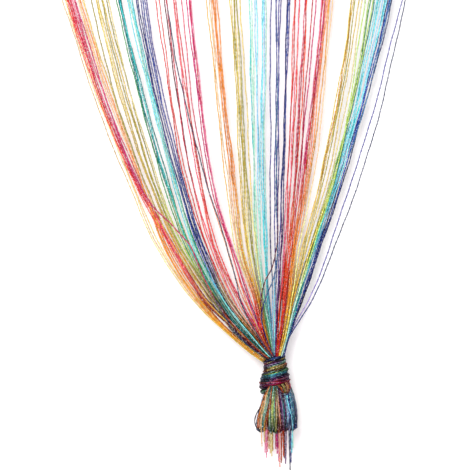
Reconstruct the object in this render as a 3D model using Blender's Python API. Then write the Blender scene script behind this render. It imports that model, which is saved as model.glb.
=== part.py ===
"""A rainbow string curtain whose strings are gathered low down into one big knot.

Metres, +Z up. The origin is the middle of the heading's top edge. The curtain hangs down from
it, its width runs along X and its front faces -Y.
"""

import math

import bmesh
import bpy
import numpy as np
from mathutils import Matrix

# The heading, and the narrow strips under it that hold the strings.
CURTAIN_WIDTH = 0.900
HEADING_HEIGHT = 0.040
HEADING_THICKNESS = 0.002
STRIP_HEIGHT = 0.006
EDGE_MARGIN = 0.007
PIECE_GAP = 0.0003

# The strings, from the strips down to the top of the knot.
STRAND_ACROSS = 0.0014
STRAND_POINTS = 12
ROOT_DEPTH = 0.003
KNOT_X = 0.100
NECK_DROP = 1.516
NECK_GAP = 0.0008
NECK_LEFT = -0.0165
NECK_RIGHT = 0.0125
BEND_HEIGHT = 0.080

# At the neck the strings lie in rows, one behind the other, that close up towards the heading.
# Each string takes the row ROW_STEP further on than the string beside it.
NECK_ROWS = 10
ROW_STEP = 3
ROW_GAP = 0.0028
ROW_FADE = 0.250
ROW_ROUNDING = 0.5

# Heights above the neck at which the table below gives where each section hangs.
LOWER_HEIGHT = 0.081
MIDDLE_HEIGHT = 0.261
UPPER_HEIGHT = 0.526

# Name, number of strings, then the middle and the width of the section in millimetres from the
# knot's axis at the upper, middle and lower heights, then its colour.
SECTION_COLUMNS = ("name", "strands", "upper", "middle", "lower", "colour")
SECTIONS = (
    ("peach_edge", 3, (-321, 7), (-219, 7), (-122, 3), (0.93, 0.66, 0.50)),
    ("pink_left", 8, (-303, 17), (-208, 10), (-113, 7), (0.82, 0.25, 0.33)),
    ("orange_left", 5, (-289, 9), (-198, 8), (-106, 6), (0.92, 0.52, 0.30)),
    ("gold_left", 8, (-262, 28), (-184, 16), (-97, 11), (0.80, 0.66, 0.25)),
    ("teal_left", 5, (-235, 10), (-166, 8), (-87, 6), (0.36, 0.60, 0.50)),
    ("cyan_left", 4, (-216, 8), (-150, 5), (-82, 3), (0.50, 0.78, 0.84)),
    ("navy_left", 6, (-200, 17), (-142, 9), (-76, 6), (0.24, 0.29, 0.47)),
    ("red_centre", 5, (-169, 18), (-130, 10), (-64, 8), (0.78, 0.20, 0.24)),
    ("rose_centre", 3, (-151, 6), (-112, 7), (-52, 5), (0.85, 0.36, 0.40)),
    ("magenta_centre", 5, (-133, 16), (-91, 16), (-40, 8), (0.70, 0.28, 0.46)),
    ("orange_centre", 7, (-94, 17), (-66, 14), (-31, 8), (0.93, 0.55, 0.28)),
    ("olive_centre", 7, (-58, 17), (-42, 16), (-23, 8), (0.75, 0.70, 0.34)),
    ("mint_centre", 5, (-34, 12), (-28, 6), (-17, 4), (0.62, 0.84, 0.76)),
    ("cyan_centre", 4, (-16, 7), (-18, 7), (-12, 5), (0.40, 0.76, 0.86)),
    ("navy_centre", 5, (1, 12), (-1, 11), (-4, 7), (0.28, 0.30, 0.52)),
    ("indigo_right", 3, (21, 4), (12, 4), (4, 3), (0.34, 0.36, 0.60)),
    ("red_right", 4, (34, 9), (22, 6), (10, 5), (0.80, 0.26, 0.26)),
    ("coral_right", 3, (47, 5), (31, 5), (15.5, 3), (0.90, 0.46, 0.40)),
    ("pink_right", 6, (65, 18), (39, 8), (20, 4), (0.85, 0.30, 0.38)),
    ("orange_right", 5, (80, 9), (50, 9), (24.5, 4), (0.93, 0.55, 0.30)),
    ("gold_right", 7, (124, 21), (77, 20), (29, 4), (0.82, 0.70, 0.30)),
    ("green_right", 4, (145, 6), (90, 4), (32.5, 2), (0.46, 0.70, 0.48)),
    ("cyan_right", 6, (159, 14), (95, 4), (35.5, 3), (0.40, 0.74, 0.84)),
    ("navy_right", 5, (171, 8), (101, 6), (40.5, 5), (0.26, 0.30, 0.50)),
    ("navy_edge", 2, (191, 3), (129, 5), (50, 2), (0.30, 0.33, 0.55)),
)

# The knot: the gathered strings inside it, and the turns wound round them.
KNOT_HEIGHT = 0.056
CORE_HALF_WIDTH = 0.0152
CORE_HALF_DEPTH = 0.0136
CORE_BASE_HALF_WIDTH = 0.0197
CORE_TOP_SHIFT = -0.002
CORE_BASE_SHIFT = 0.0005
CORE_SIDES = 20
WRAP_AROUND = 22
WRAP_SIDES = 6

# For each turn: its drop below the neck, half its width and depth to the middle of the turn,
# half its thickness and its shift sideways, all in millimetres, and how far it slants up to
# the right, in degrees.
WRAP_COLUMNS = ("drop", "half_width", "half_depth", "half_thickness", "shift", "slant")
WRAPS = (
    (7.5, 14.4, 12.8, 3.5, -1.0, 11),
    (13.8, 15.0, 13.6, 3.6, -0.5, 15),
    (20.5, 15.8, 14.4, 3.8, 0.5, 17),
    (27.5, 17.2, 15.4, 4.0, 0.5, 15),
    (34.5, 18.6, 16.2, 4.1, 0.3, 11),
    (41.5, 19.6, 16.8, 4.2, 0.5, 7),
    (49.0, 19.0, 14.4, 4.0, -0.8, 9),
    (51.5, 18.8, 14.6, 3.9, 0.8, -15),
)

# The tuft below the knot: folded loops, and loose ends that hang lower. Each row of locks has
# its place in depth. A lock swells by LOCK_SWELL of its width towards its fold.
LOCK_ACROSS = 0.0026
LOCK_SWELL = 0.5
END_ACROSS = 0.0020
TUFT_ROOT_DROP = 0.042
TUFT_FAN_START = 0.052
TUFT_FAN_DROP = 0.105
TUFT_FAN_WIDTH = 0.75
TUFT_FAN_DEPTH = 0.35
TUFT_FAN_POWER = 1.5
TUFT_OVAL = 0.024
LOOP_ROWS = (-0.0185, -0.0075, 0.0025, 0.0125)
LOOPS_ACROSS = 5
LOOP_PITCH = 0.0070
LOOP_STAGGER = 0.0024
LOOP_LEGS = LOOP_PITCH / 2
LOOP_DROP = 0.117
LOOP_UNEVEN = 0.005
LOOP_UNEVEN_TURN = (2.3, 1.7)
LOOP_FOLD_POWER = 2.4
LOOP_FOLD_SHARE = 1 / 3
LOOP_POINTS = 13

# For each loose end of a row: its sideways place at the tip and its tip's drop below the neck,
# in millimetres. Every second row has the drops in the other order.
END_ROWS = (-0.0130, -0.0025, 0.0075)
END_POINTS = 6
END_SWAY = 0.0012
END_SWAY_TURN = (4.0, 2.0)
END_COLUMNS = ("tip_x", "tip_drop")
ENDS = (
    (-27, 131),
    (-20, 138),
    (-12, 153),
    (-6, 150),
    (-1, 146),
    (5, 149),
    (10, 166),
    (16, 163),
    (21, 158),
    (26, 170),
    (31, 147),
)

WELD_DISTANCE = 0.00001
MM = 0.001


def rows(columns, table):
    """Each row of a table as a dictionary of its named columns."""
    return [dict(zip(columns, row)) for row in table]


def linear(colour):
    """An sRGB colour as linear values with alpha."""
    return tuple(((c + 0.055) / 1.055) ** 2.4 for c in colour) + (1.0,)


def finish(name, colour, roughness, metallic):
    material = bpy.data.materials.new(name)
    material.use_nodes = True
    shader = material.node_tree.nodes["Principled BSDF"]
    shader.inputs["Base Color"].default_value = linear(colour)
    shader.inputs["Roughness"].default_value = roughness
    shader.inputs["Metallic"].default_value = metallic
    return material


def empty_collection(name):
    made = bpy.data.collections.new(name)
    bpy.context.scene.collection.children.link(made)
    return made


def hide_as_guide(obj):
    obj.hide_render = True
    obj.display_type = "WIRE"


def box(name, low, high, collection):
    """A plain box between two opposite corners."""
    size = np.subtract(high, low)
    middle = np.add(high, low) / 2
    mesh = bpy.data.meshes.new(name)
    made = bmesh.new()
    place = Matrix.Translation(middle) @ Matrix.Diagonal((*size, 1.0))
    bmesh.ops.create_cube(made, size=1.0, matrix=place)
    made.to_mesh(mesh)
    made.free()
    obj = bpy.data.objects.new(name, mesh)
    collection.objects.link(obj)
    return obj


def triangle_profile(collection):
    """The three-sided section that every string and lock is swept with."""
    curve = bpy.data.curves.new("strand_section", "CURVE")
    curve.dimensions = "2D"
    spline = curve.splines.new("POLY")
    spline.points.add(2)
    spline.use_cyclic_u = True
    for corner, point in enumerate(spline.points):
        angle = corner * math.tau / 3
        radius = STRAND_ACROSS / 2
        point.co = (radius * math.cos(angle), radius * math.sin(angle), 0.0, 1.0)
    obj = bpy.data.objects.new("strand_section", curve)
    collection.objects.link(obj)
    hide_as_guide(obj)
    return obj


def swept_strands(name, paths, across, profile, collection):
    """Closed three-sided strands along the paths, as one mesh object kept as a guide.

    across is the width over the corners, one value or one for each point of a path.
    """
    curve = bpy.data.curves.new(name, "CURVE")
    curve.dimensions = "3D"
    curve.bevel_mode = "OBJECT"
    curve.bevel_object = profile
    curve.use_fill_caps = True
    for path in paths:
        spline = curve.splines.new("POLY")
        spline.points.add(len(path) - 1)
        spline.points.foreach_set("co", np.column_stack([path, np.ones(len(path))]).ravel())
        spline.points.foreach_set("radius", np.full(len(path), 1.0) * across / STRAND_ACROSS)
    drawn = bpy.data.objects.new(name + "_curve", curve)
    collection.objects.link(drawn)
    graph = bpy.context.evaluated_depsgraph_get()
    mesh = bpy.data.meshes.new_from_object(drawn.evaluated_get(graph))
    welded = bmesh.new()
    welded.from_mesh(mesh)
    bmesh.ops.remove_doubles(welded, verts=welded.verts, dist=WELD_DISTANCE)
    bmesh.ops.recalc_face_normals(welded, faces=welded.faces)
    welded.to_mesh(mesh)
    welded.free()
    obj = bpy.data.objects.new(name, mesh)
    obj.matrix_world = drawn.matrix_world
    bpy.data.objects.remove(drawn)
    collection.objects.link(obj)
    hide_as_guide(obj)
    return obj


def fuse(obj, others):
    """Joins the other solids to this one with unions that also hold where locks touch."""
    for other in others:
        union = obj.modifiers.new(other.name, "BOOLEAN")
        union.operation = "UNION"
        union.use_self = True
        union.object = other


def smooth_through(steps, values, at):
    """A cubic Hermite curve through the readings, each slope worked out from those beside it."""
    slopes = np.gradient(values, steps)
    piece = np.clip(np.searchsorted(steps, at) - 1, 0, len(steps) - 2)
    span = steps[piece + 1] - steps[piece]
    t = (at - steps[piece]) / span
    start = (1 + 2 * t) * (1 - t) ** 2 * values[piece] + t * (1 - t) ** 2 * span * slopes[piece]
    end = t**2 * (3 - 2 * t) * values[piece + 1] + t**2 * (t - 1) * span * slopes[piece + 1]
    return start + end


def strand_path(index, count, across, section):
    """One string from its root in the strip down to the neck, as an array of points.

    index of count runs over the whole curtain, and across from -1/2 to 1/2 over the section.
    Sideways the string runs smoothly through its root, its section's readings and its place at
    the neck. Steps are even in log(1 + height / BEND_HEIGHT), so they close up towards the knot.
    """
    strip_base = HEADING_HEIGHT + PIECE_GAP + STRIP_HEIGHT
    root_height = NECK_DROP - strip_base + ROOT_DEPTH
    share = index / (count - 1)
    root_x = (share - 0.5) * (CURTAIN_WIDTH - 2 * EDGE_MARGIN)
    neck_x = KNOT_X + NECK_LEFT + share * (NECK_RIGHT - NECK_LEFT)
    readings = [
        KNOT_X + (middle + across * width) * MM
        for middle, width in (section["lower"], section["middle"], section["upper"])
    ]
    heights = np.array([NECK_GAP, LOWER_HEIGHT, MIDDLE_HEIGHT, UPPER_HEIGHT, root_height])
    steps = np.log1p(heights / BEND_HEIGHT)
    at = np.linspace(steps[0], steps[-1], STRAND_POINTS)
    x = smooth_through(steps, np.array([neck_x, *readings, root_x]), at)
    height = BEND_HEIGHT * np.expm1(at)
    row = index * ROW_STEP % NECK_ROWS - (NECK_ROWS - 1) / 2
    rounding = math.sqrt(1 - ROW_ROUNDING * (2 * share - 1) ** 2)
    y = row * ROW_GAP * rounding * np.exp(-height / ROW_FADE)
    return np.column_stack([x, y, height - NECK_DROP])


def heading_band(collection):
    half = CURTAIN_WIDTH / 2
    depth = HEADING_THICKNESS / 2
    band = box("heading_band", (-half, -depth, -HEADING_HEIGHT), (half, depth, 0.0), collection)
    band.data.materials.append(finish("heading_weave", (0.86, 0.84, 0.82), 0.75, 0.0))
    return band


def string_sections(collection, guides, profile):
    """One node for each colour: its narrow strip, with the roots of its strings fused in it."""
    sections = rows(SECTION_COLUMNS, SECTIONS)
    count = sum(section["strands"] for section in sections)
    pitch = (CURTAIN_WIDTH - 2 * EDGE_MARGIN) / (count - 1)
    top = -HEADING_HEIGHT - PIECE_GAP
    depth = HEADING_THICKNESS / 2
    first = 0
    for section in sections:
        strands = section["strands"]
        paths = [
            strand_path(first + place, count, (place + 0.5) / strands - 0.5, section)
            for place in range(strands)
        ]
        left = (first - 0.5 - (count - 1) / 2) * pitch + PIECE_GAP / 2
        right = left + strands * pitch - PIECE_GAP
        name = "strings_" + section["name"]
        strip = box(name, (left, -depth, top - STRIP_HEIGHT), (right, depth, top), collection)
        fuse(strip, [swept_strands(name + "_strands", paths, STRAND_ACROSS, profile, guides)])
        strip.data.materials.append(finish("lurex_" + section["name"], section["colour"], 0.35, 0.6))
        first += strands


def owned_by(obj, collection):
    """Takes an object out of the collection it was made in and puts it in this one."""
    for owner in obj.users_collection:
        owner.objects.unlink(obj)
    collection.objects.link(obj)


def knot_wrap(number, wrap, guides):
    """One turn of the knot: a ring squashed to the knot's section, slanting up to the right."""
    bpy.ops.mesh.primitive_torus_add(
        major_segments=WRAP_AROUND,
        minor_segments=WRAP_SIDES,
        major_radius=wrap["half_width"] * MM,
        minor_radius=wrap["half_thickness"] * MM,
    )
    turn = bpy.context.object
    turn.name = f"knot_wrap_{number}"
    squash = Matrix.Diagonal((1.0, wrap["half_depth"] / wrap["half_width"], 1.0, 1.0))
    slant = Matrix.Rotation(-math.radians(wrap["slant"]), 4, "Y")
    place = Matrix.Translation((KNOT_X + wrap["shift"] * MM, 0.0, -NECK_DROP - wrap["drop"] * MM))
    turn.data.transform(place @ slant @ squash)
    owned_by(turn, guides)
    hide_as_guide(turn)
    return turn


def fan(x, y, drop):
    """Spreads the tuft from the knot's axis, more the lower a point hangs.

    The rows of locks curve back at their ends, as the oval that the tuft starts from does.
    """
    share = np.clip((drop - TUFT_FAN_START) / (TUFT_FAN_DROP - TUFT_FAN_START), 0, 1)
    share = share**TUFT_FAN_POWER
    wide = KNOT_X + x * (1 + TUFT_FAN_WIDTH * share)
    deep = y * np.sqrt(1 - (x / TUFT_OVAL) ** 2) * (1 + TUFT_FAN_DEPTH * share)
    return np.column_stack([wide, deep, -NECK_DROP - drop])


def loop_path(middle, y, lowest):
    """A lock folded back on itself: down one leg, round the fold and up the other leg."""
    turn = np.linspace(-1, 1, LOOP_POINTS)
    drop = TUFT_ROOT_DROP + (lowest - TUFT_ROOT_DROP) * (1 - np.abs(turn) ** LOOP_FOLD_POWER)
    x = middle + LOOP_LEGS / 2 * np.sin(np.pi / 2 * np.clip(turn / LOOP_FOLD_SHARE, -1, 1))
    return fan(x, np.full_like(drop, y), drop)


def tuft_loops():
    """The folded locks, row behind row, each row a little to one side of the one before."""
    paths = []
    for row, y in enumerate(LOOP_ROWS):
        stagger = (row % 2 - 0.5) * LOOP_STAGGER
        for place in range(LOOPS_ACROSS):
            middle = (place - (LOOPS_ACROSS - 1) / 2) * LOOP_PITCH + stagger
            turn = LOOP_UNEVEN_TURN[0] * place + LOOP_UNEVEN_TURN[1] * row
            lowest = LOOP_DROP + LOOP_UNEVEN * math.sin(turn)
            paths.append(loop_path(middle, y, lowest))
    return paths


def tuft_ends():
    """The loose ends, hanging between the rows of loops with a slight sway."""
    paths = []
    ends = rows(END_COLUMNS, ENDS)
    for row, y in enumerate(END_ROWS):
        lengths = ends if row % 2 == 0 else ends[::-1]
        for end, length in zip(ends, lengths):
            drop = np.linspace(TUFT_ROOT_DROP, length["tip_drop"] * MM, END_POINTS)
            x = end["tip_x"] * MM / (1 + TUFT_FAN_WIDTH)
            turn = np.linspace(0, END_SWAY_TURN[0], END_POINTS) + END_SWAY_TURN[1] * row
            sway = END_SWAY * np.sin(turn)
            paths.append(fan(x + sway, np.full_like(drop, y), drop))
    return paths


def knot_core(collection):
    """The gathered strings inside the knot: a cone on an oval base, flat where they go in."""
    bpy.ops.mesh.primitive_cone_add(
        vertices=CORE_SIDES,
        radius1=CORE_BASE_HALF_WIDTH,
        radius2=CORE_HALF_WIDTH,
        depth=KNOT_HEIGHT,
    )
    core = bpy.context.object
    core.name = "gathering_knot"
    squash = Matrix.Diagonal((1.0, CORE_HALF_DEPTH / CORE_HALF_WIDTH, 1.0, 1.0))
    lean = Matrix.Identity(4)
    lean[0][2] = (CORE_TOP_SHIFT - CORE_BASE_SHIFT) / KNOT_HEIGHT
    middle = KNOT_X + (CORE_TOP_SHIFT + CORE_BASE_SHIFT) / 2
    place = Matrix.Translation((middle, 0.0, -NECK_DROP - KNOT_HEIGHT / 2))
    core.data.transform(place @ lean @ squash)
    owned_by(core, collection)
    return core


def gathering_knot(collection, guides, profile):
    """The knot and its tuft: a core, the turns round it, and the locks fused in underneath."""
    knot = knot_core(collection)
    wraps = rows(WRAP_COLUMNS, WRAPS)
    fuse(knot, [knot_wrap(number, wrap, guides) for number, wrap in enumerate(wraps, 1)])
    swell = 1 + LOCK_SWELL * np.cos(np.linspace(-np.pi / 2, np.pi / 2, LOOP_POINTS))
    loops = swept_strands("tuft_loops", tuft_loops(), LOCK_ACROSS * swell, profile, guides)
    ends = swept_strands("tuft_ends", tuft_ends(), END_ACROSS, profile, guides)
    fuse(knot, [loops, ends])
    knot.data.materials.append(finish("lurex_knot", (0.42, 0.30, 0.50), 0.35, 0.6))


def main():
    for obj in list(bpy.data.objects):
        bpy.data.objects.remove(obj)
    parts = empty_collection("string_curtain")
    guides = empty_collection("guides")
    profile = triangle_profile(guides)
    heading_band(parts)
    string_sections(parts, guides, profile)
    gathering_knot(parts, guides, profile)


main()
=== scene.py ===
"""Looks of the rainbow string curtain: its lurex strings, woven heading, wound knot and tuft.

Metres, +Z up. The origin is the middle of the heading's top edge, and the front faces -Y.
Places across are measured from the knot's axis, and drops from the neck, where the strings
go into the knot.
"""

import math

import bpy
import numpy as np
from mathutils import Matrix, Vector


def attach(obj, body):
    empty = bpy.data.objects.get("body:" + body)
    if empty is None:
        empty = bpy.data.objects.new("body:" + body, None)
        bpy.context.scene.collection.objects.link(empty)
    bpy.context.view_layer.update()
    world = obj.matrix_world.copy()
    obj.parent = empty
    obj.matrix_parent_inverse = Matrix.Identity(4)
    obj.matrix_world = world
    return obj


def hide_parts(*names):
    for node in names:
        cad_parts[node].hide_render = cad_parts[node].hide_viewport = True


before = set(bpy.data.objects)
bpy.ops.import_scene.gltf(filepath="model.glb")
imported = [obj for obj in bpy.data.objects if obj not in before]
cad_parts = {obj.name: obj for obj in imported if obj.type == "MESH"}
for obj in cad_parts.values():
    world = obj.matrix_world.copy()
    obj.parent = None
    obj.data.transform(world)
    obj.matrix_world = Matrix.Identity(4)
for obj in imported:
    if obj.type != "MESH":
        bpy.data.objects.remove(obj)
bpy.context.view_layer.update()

MM = 0.001
TURN = 2 * math.pi

# The curtain's driving sizes, as in the part's source.
CURTAIN_WIDTH = 0.900
HEADING_HEIGHT = 0.040
HEADING_THICKNESS = 0.002
STRIP_HEIGHT = 0.006
EDGE_MARGIN = 0.007
PIECE_GAP = 0.0003
ROOT_DEPTH = 0.003
KNOT_X = 0.100
NECK_DROP = 1.516
BEND_HEIGHT = 0.080
NECK_ROWS = 10
ROW_STEP = 3
ROW_GAP = 0.0028
ROW_FADE = 0.250
ROW_ROUNDING = 0.5
READING_HEIGHTS = (0.0285, 0.081, 0.171, 0.261, 0.526)

# Where the strings go into the knot: place and drop by share of the row. Those of the left third
# cross in front of the middle ones.
ENTRY_SHARES = (0.0, 0.07, 0.35, 0.62, 1.0)
ENTRY_PLACES = (-0.0172, -0.0130, -0.0030, -0.0005, 0.0135)
ENTRY_DROPS = (0.0110, 0.0065, 0.0035, 0.0035, 0.0045)

# A lurex string: a flat metallic yarn with kinks left from its winding, which turns once in
# TWIST_RINGS rings. Its dyes blend between the dye heights, and low down they are made deeper
# and brighter.
STRING_HALF_WIDE = 0.00112
STRING_HALF_THIN = 0.00086
TWIST_RINGS = 7.2
STRING_SIDES = 5
DENSE_TOP = 0.560
DENSE_RINGS = 240
SPARSE_RINGS = 100
KINKS = ((0.040, 0.00022), (0.115, 0.00045), (0.290, 0.0009))
KINK_FADE = 0.060
WAVE_STRETCH = (0.8, 1.25)
READINGS = ("near", "lower", "crossing", "middle", "upper")
CLUMP_START = 0.060
CLUMP_FULL = 0.240
DYE_HEIGHTS = (0.050, 0.160, 0.300)
# How gathered a yarn counts as, from 0 hanging free to 1 in the knot: the more gathered, the deeper its
# painted shade, the rarer and less white its painted glints, and the more metal.
GATHER_HEIGHTS = (0.0, 0.060)
GATHERED_STRINGS = 0.20
GATHERED_TUFT = 0.52
GATHERED_ENDS = 0.15
LOW_LIFT_HEIGHTS = (0.080, 0.300)
LOW_LIFT_POWER = 1.15
LOW_LIFT_GAIN = 1.45
LIGHTEST = 0.95
SHADE_SPREAD = (0.82, 1.15)
PATTERN_STEP = 3.7

# Dyes of the yarns, as sRGB colours. The near-black one is no yarn's dye but painted shade, put
# where yarns lie in shadow: in the knot's gaps and at its sides, in the crowded neck and under the knot.
DYES = {
    "peach": (0.98, 0.78, 0.60),
    "salmon": (0.96, 0.56, 0.48),
    "coral": (0.92, 0.40, 0.36),
    "red": (0.84, 0.18, 0.16),
    "scarlet": (0.92, 0.30, 0.10),
    "crimson": (0.76, 0.10, 0.22),
    "maroon": (0.34, 0.06, 0.14),
    "rose": (0.90, 0.36, 0.46),
    "pink": (0.95, 0.56, 0.70),
    "magenta": (0.80, 0.14, 0.44),
    "orange": (0.95, 0.58, 0.24),
    "amber": (0.88, 0.64, 0.20),
    "rust": (0.66, 0.30, 0.14),
    "tan": (0.84, 0.74, 0.54),
    "gold": (0.84, 0.74, 0.34),
    "straw": (0.94, 0.88, 0.60),
    "olive": (0.62, 0.60, 0.24),
    "lime": (0.70, 0.82, 0.40),
    "green": (0.28, 0.58, 0.34),
    "forest": (0.10, 0.27, 0.20),
    "teal": (0.12, 0.52, 0.52),
    "turquoise": (0.24, 0.76, 0.76),
    "cyan": (0.50, 0.88, 0.93),
    "mint": (0.68, 0.90, 0.80),
    "sky": (0.60, 0.80, 0.94),
    "steel": (0.30, 0.48, 0.64),
    "slate": (0.24, 0.28, 0.38),
    "navy": (0.10, 0.15, 0.42),
    "royal": (0.14, 0.28, 0.64),
    "indigo": (0.32, 0.32, 0.62),
    "purple": (0.40, 0.16, 0.44),
    "lilac": (0.70, 0.62, 0.82),
    "black": (0.05, 0.05, 0.09),
}

# The colour bands. Middle and width of the band, in mm from the knot's axis, at the five
# reading heights; the strings' places in the band from -0.5 to 0.5; and each string's dyes, high
# up, where the bands cross, and at the neck.
BAND_COLUMNS = ("name", "upper", "middle", "crossing", "lower", "near", "places", "dyes")
# The near-black dye at the neck paints the shade among the crowded strings there.
BANDS = (
    ("peach_edge", (-314, 6), (-218, 8), (-179, 7), (-119, 5), (-67, 3),
     (-0.50, 0.10, 0.50), ("tan straw gold", "straw tan amber", "peach straw orange")),
    ("pink_left", (-303, 17), (-206, 14), (-157, 9), (-103, 10), (-48, 6),
     (-0.46, -0.37, -0.28, -0.17, -0.06, 0.04, 0.22, 0.44),
     ("coral coral maroon", "red crimson orange", "rose coral amber", "crimson rose rust",
      "rose coral gold", "pink rose peach", "rose crimson maroon", "magenta magenta rust")),
    ("orange_left", (-289, 9), (-199, 7), (-166, 7), (-112, 9), (-62.3, 7),
     (-0.50, -0.25, 0.00, 0.25, 0.50),
     ("peach orange orange", "peach amber gold", "orange orange amber", "peach amber rust",
      "gold orange amber")),
    ("gold_left", (-262, 28), (-186, 22), (-148, 16), (-91, 13), (-55, 8),
     (-0.47, -0.18, -0.10, -0.04, 0.14, 0.22, 0.41, 0.49),
     ("olive gold gold", "gold gold slate", "straw amber maroon", "gold tan olive",
      "olive olive slate", "gold lime indigo", "olive straw black", "straw lime maroon")),
    ("teal_left", (-232, 7), (-164, 10), (-133, 8), (-83, 8), (-42.7, 5),
     (-0.45, -0.20, 0.05, 0.25, 0.48),
     ("green green forest", "teal lime navy", "teal turquoise teal", "turquoise green forest",
      "teal olive teal")),
    ("cyan_left", (-216, 7), (-150, 5), (-124, 6), (-78, 6), (-38.2, 4),
     (-0.45, -0.10, 0.15, 0.50),
     ("cyan cyan mint", "mint mint forest", "cyan turquoise sky", "turquoise green forest")),
    ("navy_left", (-200, 17), (-142, 11), (-114, 10), (-71.5, 8), (-32.2, 7),
     (-0.37, -0.29, -0.06, 0.16, 0.28, 0.50),
     ("navy royal cyan", "navy navy black", "indigo steel green", "royal navy olive",
      "indigo royal rust", "indigo navy gold")),
    ("red_centre", (-169, 18), (-128, 14), (-101, 13), (-63, 9), (-27, 7),
     (-0.44, -0.22, 0.28, 0.36, 0.46),
     ("red crimson peach", "coral red maroon", "maroon coral tan", "crimson rose rose",
      "slate slate slate")),
    ("rose_centre", (-150, 5), (-112, 6), (-92, 6), (-53, 5), (-22.5, 4),
     (-0.45, 0.05, 0.45), ("rose coral salmon", "coral coral crimson", "crimson red magenta")),
    ("magenta_centre", (-133, 16), (-98, 12), (-71, 10), (-41, 13), (-19, 6),
     (-0.41, 0.13, 0.34, 0.44, 0.52),
     ("rose peach salmon", "magenta rose orange", "magenta magenta magenta",
      "crimson magenta purple", "pink pink scarlet")),
    ("orange_centre", (-94, 17), (-66, 15), (-55, 15), (-28, 8), (-15.5, 7),
     (-0.45, -0.25, -0.03, 0.08, 0.19, 0.32, 0.44),
     ("amber straw crimson", "tan peach scarlet", "peach peach orange", "orange straw red",
      "orange peach peach", "orange amber rust", "orange gold amber")),
    ("olive_centre", (-58, 17), (-43, 17), (-37, 16), (-21, 8), (-10.5, 6),
     (-0.46, -0.33, -0.20, -0.10, 0.02, 0.14, 0.44),
     ("gold gold amber", "straw straw orange", "olive gold rust", "gold straw olive",
      "straw olive mint", "olive olive lilac", "gold straw green")),
    ("mint_centre", (-34, 12), (-28, 9), (-25, 9), (-16, 6), (-6.7, 5),
     (-0.35, -0.20, -0.05, 0.40, 0.55),
     ("turquoise mint olive", "mint straw green", "mint mint mint", "sky mint turquoise",
      "cyan mint mint")),
    ("cyan_centre", (-16, 7), (-17, 6), (-14, 6), (-8.5, 4), (-3.8, 4),
     (-0.45, -0.15, 0.15, 0.45),
     ("cyan cyan teal", "cyan turquoise cyan", "sky cyan sky", "mint cyan steel")),
    ("navy_centre", (1, 13), (-1, 11), (0, 11), (-1, 7), (-0.6, 5),
     (-0.50, 0.05, 0.15, 0.44, 0.56),
     ("indigo navy sky", "steel steel navy", "indigo indigo cyan", "indigo maroon maroon",
      "indigo indigo steel")),
    ("indigo_right", (21, 4), (12, 4), (10, 4), (5, 3), (2.6, 3),
     (-0.40, 0.00, 0.40), ("navy indigo purple", "royal purple maroon", "indigo navy purple")),
    ("red_right", (34, 9), (22, 6), (17, 6), (10, 5), (5.4, 4),
     (-0.42, -0.28, 0.30, 0.46),
     ("coral pink rose", "red rose scarlet", "rose coral maroon", "scarlet scarlet red")),
    ("coral_right", (47, 5), (31, 5), (23, 4), (15, 3), (8.2, 3),
     (-0.40, 0.00, 0.40), ("rose scarlet scarlet", "crimson orange red", "scarlet red coral")),
    ("pink_right", (65, 18), (39, 9), (28, 7), (18, 5), (10.7, 5),
     (-0.46, -0.22, 0.25, 0.34, 0.43, 0.52),
     ("crimson scarlet crimson", "magenta red orange", "pink orange rose", "crimson crimson scarlet",
      "red orange amber", "magenta orange orange")),
    ("orange_right", (80, 9), (50, 9), (35, 7), (23, 5), (14, 4),
     (-0.45, -0.25, 0.00, 0.40, 0.85),
     ("orange orange orange", "salmon orange amber", "orange peach orange", "amber peach rust",
      "peach straw gold")),
    ("gold_right", (124, 21), (77, 20), (51, 15), (29, 6), (17, 4),
     (-0.46, -0.37, -0.26, -0.15, 0.06, 0.34, 0.55),
     ("gold gold gold", "amber straw amber", "gold straw olive", "olive gold amber",
      "gold straw gold", "straw olive lime", "lime gold mint")),
    ("green_right", (145, 6), (88, 4), (60, 3), (32.5, 2), (19.2, 2),
     (-0.45, -0.10, 0.20, 0.50),
     ("lime olive green", "green gold turquoise", "lime lime mint", "teal turquoise cyan")),
    ("cyan_right", (159, 14), (93, 6), (64, 6), (35.5, 4), (20.8, 3),
     (-0.43, -0.27, -0.13, 0.21, 0.37, 0.50),
     ("cyan turquoise turquoise", "turquoise cyan cyan", "cyan turquoise cyan",
      "sky cyan sky", "turquoise turquoise turquoise", "cyan steel teal")),
    ("navy_right", (171, 8), (100, 6), (71, 5), (40.5, 4), (22.4, 2),
     (-0.45, -0.20, 0.02, 0.30, 0.50),
     ("royal royal navy", "navy navy indigo", "royal navy navy", "steel navy black",
      "navy navy royal")),
    ("navy_edge", (193, 6), (122, 11), (91, 9), (53, 8), (23.4, 1),
     (-0.50, 0.50), ("indigo indigo lilac", "slate slate navy")),
)

# The order of the bands round the knot's neck, where two of them have crossed.
NECK_ORDER = (0, 2, 3, 1) + tuple(range(4, 25))

# Strings that leave their band: (band, string), then height and place in mm.
STRAYS = {
    ("pink_left", 7): ((526, -297), (351, -241), (261, -206), (226, -187), (193, -154),
                       (160, -125), (138, -116), (81, -88), (28.5, -46)),
    ("red_centre", 4): ((526, -161), (441, -147), (351, -127), (294, -113), (241, -98),
                        (171, -74), (129, -62), (81, -50), (28.5, -25)),
    ("navy_centre", 3): ((526, 7), (261, 4), (171, 4), (149, 0), (125, -7), (111, -14),
                         (90, -20), (55, -20), (27, -14)),
    ("navy_centre", 1): ((526, 3), (261, 3), (171, 3), (137, 2), (110, -3), (86, -13),
                         (70, -18), (51, -19), (33, -15)),
}
STRAY_FRONT = -0.0125

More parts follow.
